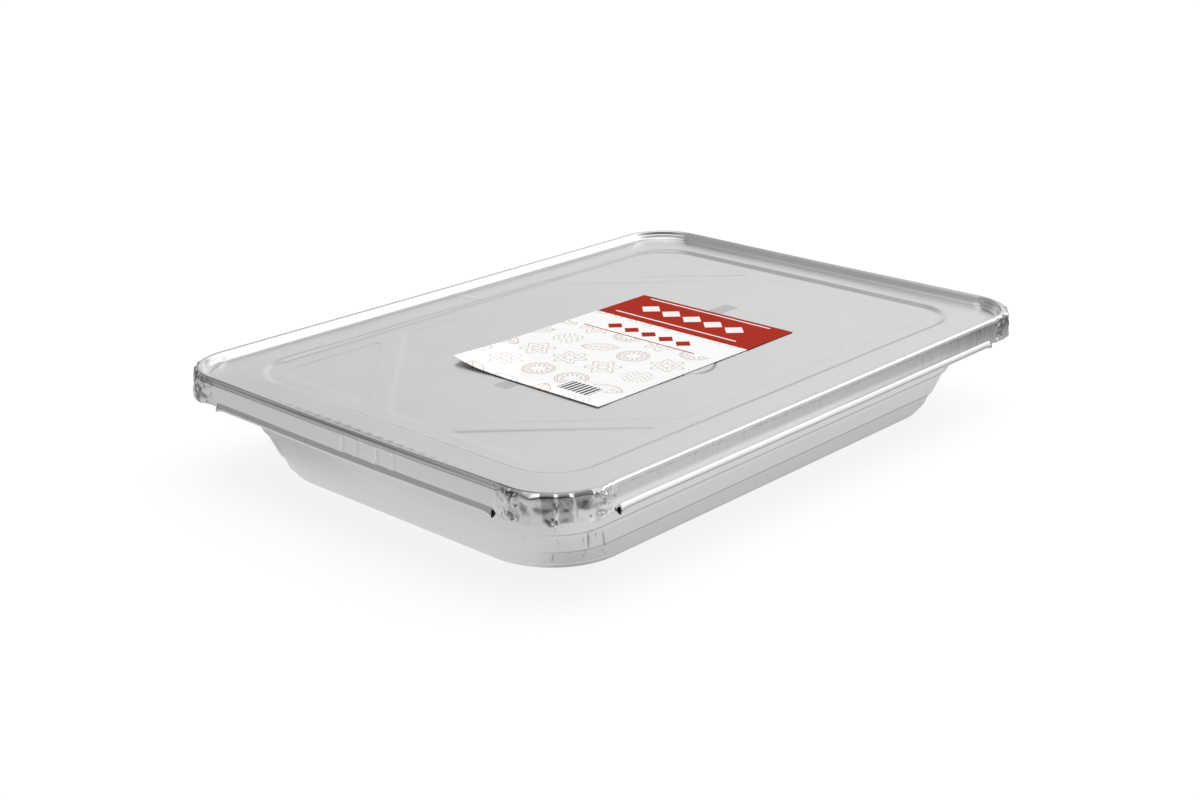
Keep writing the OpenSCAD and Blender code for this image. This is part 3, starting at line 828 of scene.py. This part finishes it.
def pan_section():
    """Outside of the pan's section: offset from the crest and height above the base."""
    bend_in = bend_r * (1 - math.tan(draft) / (1 + 1 / math.cos(draft)))
    rows = arc((-base_inset - bend_in, bend_r), bend_r, -90, -math.degrees(draft), 7).tolist()
    flange_z = crest_z - flange_drop
    tops = list(wall_steps) + [flange_z - mouth_r]
    ledge_rows = []
    z = rows[-1][1]
    for steps, top in enumerate(tops):
        n = max(2, round((top - z) / 1.1))
        stop = top - 0.5 if steps < 3 else top
        for k in range(1, n + 1):
            at = z + (stop - z) * k / n
            rows.append([wall_offset(at, steps), at])
        if steps < 3:
            for t in (0.2, 0.4, 0.6, 0.8, 1.0):
                at = top - 0.5 + 1.1 * t
                groove = 0.22 * math.sin(math.pi * min(t / 0.5, 1))
                rows.append([wall_offset(at, steps) + wall_step_w * smooth(t * 1.1) - groove, at])
                ledge_rows.append(len(rows) - 1)
            z = rows[-1][1]
    mouth = wall_offset(flange_z - mouth_r, 3) + mouth_r * math.cos(draft)
    rows += arc((mouth, flange_z - mouth_r), mouth_r, 180 - math.degrees(draft), 90, 5)[1:].tolist()
    rise = -curl_r - rise_w
    rows += [[(mouth + rise) / 2, flange_z], [rise - 1, flange_z], [rise, flange_z + 1]]
    rows += arc((0, crest_z - bead_r), curl_r - 0.2, 180, -135, 9).tolist()
    return np.array(rows), mouth, rise, ledge_rows


def pan_corner_r(offset, mouth, rise):
    """The corners flare: their radius falls from the wall's foot to its top, then grows to the rim's."""
    top = mouth - mouth_r * math.cos(draft)
    knots = [-base_inset - 50, -base_inset, top, mouth, rise, rise + 50]
    radii = [base_r - 50, base_r, wall_top_r, wall_top_r + mouth - top, rim_r + rise, rim_r + rise + 50]
    return float(np.interp(offset, knots, radii))


# Short creases in the near corner of the wall: angle in the corner, height, lean, length, depth
wall_creases = [
    (44.5, 29.5, 0.0, 3.5, 0.4), (47, 20.0, -0.53, 4.0, 0.6), (43, 8.5, 0.18, 7.0, 0.55),
    (2.5, 17.0, -0.28, 5.0, 0.5), (87, 17.5, 0.29, 10.0, 1.5), (72.5, 19.0, 0.24, 9.5, 1.1),
    (77.5, 24.5, 2.5, 1.6, 0.5), (65.5, 10.0, 0.56, 4.5, 0.6), (80.5, 21.0, 0.6, 4.0, 0.45),
    (68, 20.5, 0.1, 5.0, 0.4), (81, 8.0, -0.2, 5.0, 0.4),
]
# The ranges of the same numbers in the other corners
crease_ranges = ((8, 82), (3, 34), (-0.6, 0.6), (4, 10), (0.2, 0.55))
# Painted shade spots at the wall's outline: corner, angle and half width, height and half height
wall_painted_shade_spots = ((1, 63, 9, 35, 3.2), (3, 20, 13, 32, 4))


def pan_push(offset, z, corner, angle):
    """Dents of the wall's corners, which gather the foil drawn in there."""
    push = np.zeros(len(angle))
    r = base_r + base_inset + offset
    for k in range(4):
        here = corner == k
        degrees = np.degrees(angle[here])
        way = np.radians(degrees) * r
        total = np.zeros(len(way))
        creases = wall_creases
        if k != near_corner:
            rng = np.random.default_rng(200 + k)
            creases = [[rng.uniform(*span) for span in crease_ranges] for _ in range(12)]
        for at, height, lean, length, depth in creases:
            across = way - math.radians(at) * r - lean * (z - height)
            along = bump(z, height, length / 2)
            total += depth * along * (0.8 * bump(across, 0.9, 0.8) - 1.2 * bump(across, -0.3, 0.55))
        if k in (1, 3):
            bent = degrees - (55 if k == 1 else 33)
            total += 0.8 * bump(bent, 0, 9) * (bump(z, 38, 3.5) - bump(z, 31, 3.5))
        ends = between(degrees, 0, 90, 8, 8)
        total += 0.12 * waves(way, z, 210 + k, 14) * ends
        push[here] = total * (0.3 + 0.7 * ends)
    return push * between(z, 1.5, 44, 4, 6)


def base_height(x, y):
    return 0.12 * (1 + waves(x, y, 220, 90))


def pan_sheet():
    """The pan as one closed sheet: outer face, inner face, raw edge and base."""
    section, mouth, rise, ledge_rows = pan_section()
    corner = np.where(pan_at[:, 2] > 0, -1, pan_at[:, 0].astype(int))
    angle = pan_at[:, 1] * (pan_at[:, 2] == 0)
    turn = np.degrees(angle)
    sag_edge = crest_z - 12
    rows, shades = [], []
    for number, (offset, z) in enumerate(section):
        xy, out = pan_ring(offset, pan_corner_r(offset, mouth, rise))
        push = pan_push(offset, z, corner, angle)
        xy = xy + out * push[:, None]
        long_side = smooth((-out[:, 1] - 0.45) / 0.4)
        short_side = smooth((-out[:, 0] - 0.5) / 0.4)
        # Painted shade: in the wall's dents, and on the near long side along its ledges, low down and
        # near its foot
        steps = 0.27 * (number in ledge_rows) + 0.07 * smooth((wall_steps[1] - z) / 4)
        foot = 0.09 * smooth(wall_steps[0] - z) + 0.08 * smooth((4 - z) / 3)
        painted_shading = 0.75 * np.clip(-push - 0.08, 0, 0.7) + long_side * (steps + foot)
        # Painted shade low in the near corner
        painted_shading += 0.12 * (corner == near_corner) * bump(turn, 48, 30) * smooth((24 - z) / 20)
        # Painted shade on the near short side, more of it higher up and toward its left end
        leftward = smooth((xy[:, 1] - 5) / 65) * smooth((z - 4) / 20)
        painted_shading += short_side * (0.09 * smooth((z - 6) / 30) + 0.13 * leftward)
        # Painted shade spots at the wall's outline in the side corners
        for at_corner, at_turn, wide, height, tall in wall_painted_shade_spots:
            painted_shading += 0.8 * (corner == at_corner) * bump(turn, at_turn, wide) * bump(z, height, tall)
        shades.append(painted_shading)
        # The wall's top follows the sag of the near short side
        side = smooth((-out[:, 0] - 0.35) / 0.6) * (1 - smooth(np.abs(xy[:, 1]) / (crest_y - rim_r)))
        rows.append(np.column_stack([xy, z - (0.28 + 0.62 * side) * smooth((z - sag_edge) / 6)]))
    normals = sheet_normals(np.array(rows)[::-1])[::-1]
    sheet = Sheet()
    outside = [sheet.add(row, painted_shading) for row, painted_shading in zip(rows, shades)]
    last = len(rows) - 1
    picks = [0, 3, 6, *range(8, last - 11, 2), *range(last - 11, last, 2), last]
    inside = [sheet.add(rows[r] - foil_t * normals[r]) for r in picks]
    sheet.faces += flipped(grid_faces(outside, True)) + grid_faces(inside, True)
    sheet.faces += flipped(quads(outside[-1], inside[-1], True))
    # Base, outside and inside
    net = net_points(np.arange(-160, 161, 12.0), np.arange(-100, 101, 12.0))
    net = net[box_distance(*net.T, base_inset + 8, base_r - 8) < -3]
    sheet.fill(outside[0], net, base_height, 0, False)
    sheet.fill(inside[0], net, base_height, foil_t, True)
    return sheet.done()


# Card and clear strip

def card_sheet():
    """The card, which lies on the lid and is bent up at its left corner."""
    u, v = np.meshgrid(np.linspace(-0.5, 0.5, 69), np.linspace(-0.5, 0.5, 47))
    away = np.hypot((u + 0.5) * card_size[0], (0.5 - v) * card_size[1])
    bent = 2.7 * np.clip(1 - away / 26, 0, 1) ** 1.5
    x = u * (card_size[0] - 2.2) + card_mid[0] - 2.3 + bent
    y = v * (card_size[1] - 1.8) + card_mid[1] - 3.1 - bent + 0.006 * x
    level = np.percentile(lid_height(x.ravel(), y.ravel()) + crest_z, 85) + card_lift
    curl = 2.4 * np.clip(1 - away / 48, 0, 1) ** 1.6
    near_edge = 0.12 * np.clip(1 - (v + 0.5) / 0.16, 0, 1) ** 2 * bump(u, -0.12, 0.3)
    left_edge = 0.25 * np.clip(1 - (u + 0.5) / 0.12, 0, 1) ** 2
    return slab(x, y, level + curl + near_edge + left_edge + 0.06 * waves(x, y, 71, 120), card_t)


def tape_sheet():
    x, y = np.meshgrid(
        np.linspace(tape_low.x / mm, tape_high.x / mm, 100),
        np.linspace(tape_low.y / mm, tape_high.y / mm, 9))
    under = lid_height(x.ravel(), y.ravel()).reshape(x.shape) + crest_z + tape_lift
    return slab(x, y, under + 0.01 * (1 + waves(x, y, 72, 20)), tape_t)


# Materials

class Nodes:
    """Short ways to add and join the nodes of one material."""

    def __init__(self, tree):
        self.tree = tree

    def fill(self, node, inputs):
        """Link or set the inputs of a node, and return it."""
        for key, value in inputs.items():
            if isinstance(value, bpy.types.NodeSocket):
                self.tree.links.new(value, node.inputs[key])
            else:
                node.inputs[key].default_value = value
        return node

    def add(self, kind, inputs=None, **settings):
        node = self.tree.nodes.new("ShaderNode" + kind)
        for name, value in settings.items():
            setattr(node, name, value)
        return self.fill(node, inputs or {})

    def math(self, operation, *values):
        return self.add("Math", dict(enumerate(values)), operation=operation).outputs[0]

    def vector(self, operation, *values, output="Vector"):
        return self.add("VectorMath", dict(enumerate(values)), operation=operation).outputs[output]

    def scaled(self, vector, scale):
        return self.add("VectorMath", {0: vector, "Scale": scale}, operation="SCALE").outputs[0]

    def split(self, vector):
        return self.add("SeparateXYZ", {0: vector}).outputs[:]

    def combined(self, x, y):
        return self.add("CombineXYZ", {0: x, 1: y}).outputs[0]

    def place(self, kind="Object"):
        return self.add("TexCoord").outputs[kind]

    def noise(self, stretch, detail, roughness):
        spread = self.add("Mapping", {"Vector": self.place(), "Scale": stretch}).outputs["Vector"]
        inputs = {"Vector": spread, "Scale": 1.0, "Detail": detail, "Roughness": roughness}
        return self.add("TexNoise", inputs).outputs["Fac"]

    def ramp(self, value, low, high, start, end, **settings):
        inputs = dict(enumerate((value, low, high, start, end)))
        return self.add("MapRange", inputs, **settings).outputs["Result"]


def new_material(name):
    material = bpy.data.materials.new(name)
    material.use_nodes = True
    tree = material.node_tree
    return material, Nodes(tree), tree.nodes["Principled BSDF"]


def foil_material(name, colour, roughness, grain):
    """Rolled aluminium foil: fine streaks along the rolling direction and a slightly cloudy sheen.
    Painted shade and painted highlights, from a per-point attribute, darken or lighten its colour and
    specular tint.
    """
    material, nodes, shader = new_material(name)
    # Painted light and shade: the attribute darkens the colour and specular tint, and lightens them where
    # it is negative
    kept = nodes.math("SUBTRACT", 1.0, nodes.add("Attribute", attribute_name="painted_light_and_shade").outputs["Fac"])
    streaks = nodes.noise((30, 900, 900), 3.0, 0.6)
    clouds = nodes.noise((18, 18, 18), 3.0, 0.5)
    mixed = nodes.math("ADD", nodes.math("MULTIPLY", streaks, 0.5), nodes.math("MULTIPLY", clouds, 0.5))
    bumps = nodes.add("Bump", {"Strength": grain, "Distance": 0.00004, "Height": streaks})
    nodes.fill(shader, {
        "Metallic": 1.0,
        "Base Color": nodes.scaled(colour, kept),
        "Specular Tint": kept,
        "Roughness": nodes.ramp(mixed, 0.3, 0.7, roughness - 0.04, roughness + 0.04),
        "Normal": bumps.outputs["Normal"],
    })
    return material


def card_material():
    """White card: a red band, plain rows of red and white diamonds, and pale line motifs in cells."""
    material, nodes, shader = new_material("printed_card")
    m = nodes.math
    from_middle = nodes.vector("SUBTRACT", nodes.place(), (card_mid[0] * mm, card_mid[1] * mm, 0))
    u, v, _ = nodes.split(nodes.scaled(from_middle, 1 / mm))

    def near(value, at, half):
        return m("LESS_THAN", m("ABSOLUTE", m("SUBTRACT", value, at)), half)

    def joined(operation, masks):
        total = masks[0]
        for mask in masks[1:]:
            total = m(operation, total, mask)
        return total

    def both(*masks):
        return joined("MULTIPLY", masks)

    def either(*masks):
        return joined("MAXIMUM", masks)

    def repeated(value, pitch):
        return m("SUBTRACT", m("MODULO", m("ADD", value, 200.5 * pitch), pitch), pitch / 2)

    def diamonds(centre, pitch, size, reach):
        across = m("ABSOLUTE", m("SUBTRACT", u, centre))
        along = m("ABSOLUTE", repeated(v, pitch))
        return both(m("LESS_THAN", m("ADD", across, along), size), near(v, 0, reach))

    # Pale drawings: each cell holds one motif, turned its own way
    cell = 25.0
    row_v = m("ADD", v, 7)
    cell_u, cell_v = m("FLOOR", m("DIVIDE", u, cell)), m("FLOOR", m("DIVIDE", row_v, cell))

    def in_cell(value, number):
        return m("SUBTRACT", m("SUBTRACT", value, m("MULTIPLY", number, cell)), cell / 2)

    index = nodes.combined(cell_u, cell_v)
    chance = nodes.add("TexWhiteNoise", {"Vector": index}, noise_dimensions="2D").outputs["Color"]
    turn, pick, _ = nodes.add("SeparateColor", {0: chance}).outputs[:]
    local = nodes.combined(in_cell(u, cell_u), in_cell(row_v, cell_v))
    around = {"Vector": local, "Angle": m("MULTIPLY", turn, 6.28)}
    x, y, _ = nodes.split(nodes.add("VectorRotate", around, rotation_type="Z_AXIS").outputs[0])

    def distance(value):
        return m("SQRT", m("ADD", value, m("MULTIPLY", y, y)))

    r = distance(m("MULTIPLY", x, x))
    angle = m("ARCTAN2", y, x)
    wave = m("COSINE", m("MULTIPLY", angle, 6))
    thin = 0.3

    petals = m("MULTIPLY_ADD", wave, 2.0, 8.2)
    spokes = both(m("GREATER_THAN", wave, 0.93), near(r, 5.2, 1.4))
    flower = either(near(m("SUBTRACT", r, petals), 0, 0.42), near(r, 3.1, thin), spokes)
    circles = [distance(m("POWER", m(way, x, 7.5), 2.0)) for way in ("SUBTRACT", "ADD")]
    leaf_edge = m("MAXIMUM", *circles)
    inside = m("LESS_THAN", leaf_edge, 13.2)
    slanted = m("ADD", y, m("MULTIPLY", m("ABSOLUTE", x), -0.9))
    veins = both(inside, near(repeated(slanted, 3.4), 0, 0.2))
    leaf = either(near(leaf_edge, 13.2, thin), both(inside, near(x, 0, 0.25)), veins)
    dashes = both(near(repeated(m("MULTIPLY", angle, 7.64), 4.0), 0, 0.8), near(r, 5.2, 1.2))
    rings = either(near(r, 9.2, thin), near(r, 7.8, thin), dashes)
    ripple = m("SUBTRACT", y, m("MULTIPLY", m("SINE", m("MULTIPLY", x, 0.75)), 1.5))
    ripples = both(near(repeated(ripple, 3.6), 0, 0.3), m("LESS_THAN", r, 9.5))
    drawn = either(
        both(flower, m("LESS_THAN", pick, 0.3)),
        both(leaf, near(pick, 0.45, 0.15)),
        both(rings, near(pick, 0.7, 0.1)),
        both(ripples, m("GREATER_THAN", pick, 0.8)),
    )

    # Rows along the band, and the block of stripes with its quiet border
    band = m("GREATER_THAN", u, 38.5)
    red_rows = both(either(diamonds(23, 13, 5.6, 32.4), near(u, 13.2, 0.55)), near(v, 0, 42))
    white_lines = [both(near(u, at, 0.7), near(v, 0, 46)) for at in (46, 78)]
    white_rows = either(diamonds(62, 16, 7.2, 39), *white_lines)
    stripes = both(near(u, -71, 6.5), near(v, -34, 11), m("LESS_THAN", repeated(v, 2.8), 0.2))
    quiet = either(near(u, 24, 11), both(near(u, -71, 9), near(v, -34, 13)))
    red = (0.42, 0.024, 0.009, 1)
    colour = (0.97, 0.97, 0.965, 1)
    for mask, ink in (
        (both(drawn, m("SUBTRACT", 1.0, quiet)), (0.60, 0.50, 0.44, 1)),
        (stripes, (0.06, 0.055, 0.055, 1)),
        (red_rows, red),
        (band, red),
        (both(band, white_rows), (0.93, 0.91, 0.9, 1)),
    ):
        colour = nodes.add("Mix", {0: mask, 6: colour, 7: ink}, data_type="RGBA").outputs[2]
    nodes.fill(shader, {"Base Color": colour, "Roughness": 0.6, "Specular IOR Level": 0.03})
    return material


def tape_material():
    material, nodes, shader = new_material("clear_film")
    nodes.fill(shader, {"Base Color": (0.5, 0.5, 0.5, 1), "Roughness": 0.4, "Alpha": 0.12})
    return material


# Stage: floor, studio light and camera

# The studio as the foil sees it: azimuth and elevation of each bright or dark place, the angles
# to where it is full and to where it ends, and its strength
lights = (
    (0, 90, 10, 46, 0.74), (32, 18, 20, 60, 0.22), (15, 14, 12, 40, 0.1), (-33, 30, 22, 36, 0.78),
    (64, 47, 15, 25, -0.3), (16, 51, 8, 18, -0.22), (118, 40, 28, 44, -0.16), (-137, 14, 25, 60, -0.35),
)


def world_light():
    world = bpy.data.worlds.new("studio")
    bpy.context.scene.world = world
    world.use_nodes = True
    nodes = Nodes(world.node_tree)
    way = nodes.place("Generated")
    total = 0.5
    for azimuth, elevation, inner, outer, amount in lights:
        flat, up = direction(math.radians(elevation))
        x, y = flat * direction(math.radians(azimuth))
        facing = nodes.vector("DOT_PRODUCT", way, (x, y, up), output="Value")
        low, high = np.cos(np.radians((outer, inner)))
        spot = nodes.ramp(facing, low, high, 0.0, amount, interpolation_type="SMOOTHSTEP")
        total = nodes.math("ADD", spot, total)
    height = nodes.split(way)[2]
    paths = nodes.add("LightPath").outputs
    total = nodes.math("MAXIMUM", total, 0.1)
    total = nodes.math("MULTIPLY", total, nodes.ramp(height, 0.0, 0.2, 0.5, 1.0))
    diffuse = nodes.ramp(paths["Is Diffuse Ray"], 0.0, 1.0, 1.0, 1.6)
    total = nodes.math("MULTIPLY", total, diffuse)
    # The camera sees plain white
    seen = nodes.add("Mix", {0: paths["Is Camera Ray"], 2: total, 3: 1.0}, data_type="FLOAT")
    background = world.node_tree.nodes["Background"]
    nodes.fill(background, {"Strength": seen.outputs[0], "Color": (1, 1, 1, 1)})


def floor_piece():
    size = 3.0
    corners = [(x * size, y * size, 0) for x, y in ((-1, -1), (1, -1), (1, 1), (-1, 1))]
    mesh = bpy.data.meshes.new("floor")
    mesh.from_pydata(corners, [], [(0, 1, 2, 3)])
    floor = bpy.data.objects.new("floor", mesh)
    floor.location.z = -0.0002
    bpy.context.scene.collection.objects.link(floor)
    material, nodes, shader = new_material("floor")
    nodes.tree.nodes.remove(shader)
    paths = nodes.add("LightPath").outputs
    seen = nodes.math("MAXIMUM", paths["Is Camera Ray"], paths["Is Transmission Ray"])
    # The foil sees the table darker further away, and a little more so to the right
    place = nodes.place()
    middle = ((crest_x - 72) * mm, (crest_y - 72) * mm, 0)
    past = nodes.vector("SUBTRACT", nodes.vector("ABSOLUTE", place), middle)
    away = nodes.vector("LENGTH", nodes.vector("MAXIMUM", past), output="Value")
    near = nodes.ramp(away, 0.055, 0.17, 0.67, 0.42)
    far = nodes.ramp(away, 0.3, 0.7, 0.0, 0.22)
    rightward = nodes.ramp(nodes.split(place)[0], 0.02, 0.26, 0.0, 1.0)
    aside = nodes.math("MULTIPLY", rightward, nodes.ramp(away, 0.1, 0.18, 0.0, 0.12))
    fading = nodes.math("SUBTRACT", nodes.math("SUBTRACT", near, far), aside)
    mirrored = nodes.math("MULTIPLY", paths["Is Glossy Ray"], fading)
    strength = nodes.math("ADD", nodes.math("MULTIPLY", seen, 0.82), mirrored)
    diffuse = nodes.add("BsdfDiffuse", {"Color": (0.22, 0.22, 0.22, 1)}).outputs[0]
    glow = nodes.add("Emission", {"Strength": strength}).outputs[0]
    surface = nodes.add("AddShader", {0: diffuse, 1: glow}).outputs[0]
    nodes.fill(nodes.tree.nodes["Material Output"], {"Surface": surface})
    mesh.materials.append(material)


def place_camera():
    """The photograph's camera, 0.95 m from the lid, looking down by 20 degrees."""
    yaw, pitch, roll = math.radians(42.6915), math.radians(19.9577), math.radians(0.3662)
    forward = Vector((math.cos(pitch) * math.cos(yaw), math.cos(pitch) * math.sin(yaw), -math.sin(pitch)))
    level = Vector((math.sin(yaw), -math.cos(yaw), 0))
    below = forward.cross(level)
    right = math.cos(roll) * level + math.sin(roll) * below
    down = math.cos(roll) * below - math.sin(roll) * level
    turn = Matrix((right, -down, -forward)).transposed().to_4x4()
    data = bpy.data.cameras.new("camera")
    data.sensor_width = 36
    data.lens = 52.756
    camera = bpy.data.objects.new("camera", data)
    camera.matrix_world = Matrix.Translation((-0.708323, -0.638072, 0.305743 + crest_z * mm)) @ turn
    bpy.context.scene.collection.objects.link(camera)
    bpy.context.scene.camera = camera


place_camera()
world_light()
floor_piece()
bpy.context.scene.view_settings.view_transform = "Standard"

lid_foil = foil_material("lid_foil", (0.83, 0.83, 0.835), 0.24, 0.25)
pan_foil = foil_material("pan_foil", (0.825, 0.825, 0.827), 0.24, 0.25)
for name, slot, sheet, material, flat_edges in (
    ("lid", "lid_foil", lid_sheet, lid_foil, None),
    ("pan", "pan_foil", pan_sheet, pan_foil, None),
    ("label", "label_card", card_sheet, card_material(), 40),
    ("label_tape", "clear_tape", tape_sheet, tape_material(), 40),
):
    points, faces, shade = sheet()
    piece = make_mesh(name + "_sheet", points, faces, shade, material, flat_edges)
    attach(piece, "root")
    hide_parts(name)
